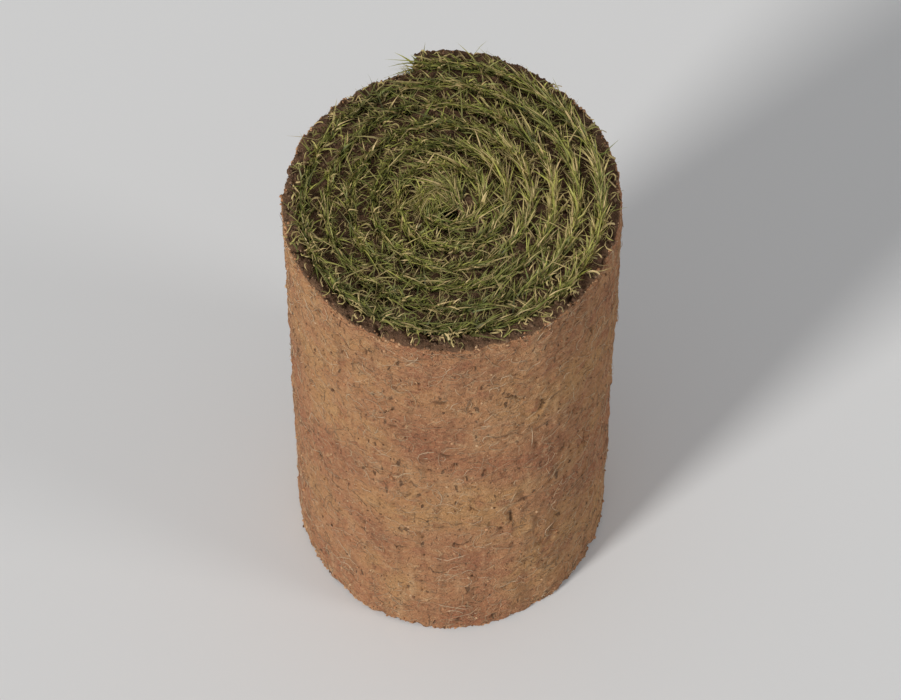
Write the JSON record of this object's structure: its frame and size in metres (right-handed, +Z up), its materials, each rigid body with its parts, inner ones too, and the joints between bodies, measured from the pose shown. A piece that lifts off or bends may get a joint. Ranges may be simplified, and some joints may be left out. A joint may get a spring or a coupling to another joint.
{
  "type": "roll of turf",
  "caption": "Strip of lawn turf wound into a roll with its soil side out, standing on one end, with grass and the turns of the coil showing at both ends.",
  "frame": {"origin": "on the floor below the middle of the roll's box", "axes": "+Z up along the coil's axis; seen from above the coil winds outwards anticlockwise and its tail ends at the +Y side"},
  "size_m": [0.2172, 0.2226, 0.4],
  "materials": {
    "turf_soil": "matte"
  },
  "bodies": {
    "root": {"turf_roll": "turf_soil"}
  },
  "joints": []
}
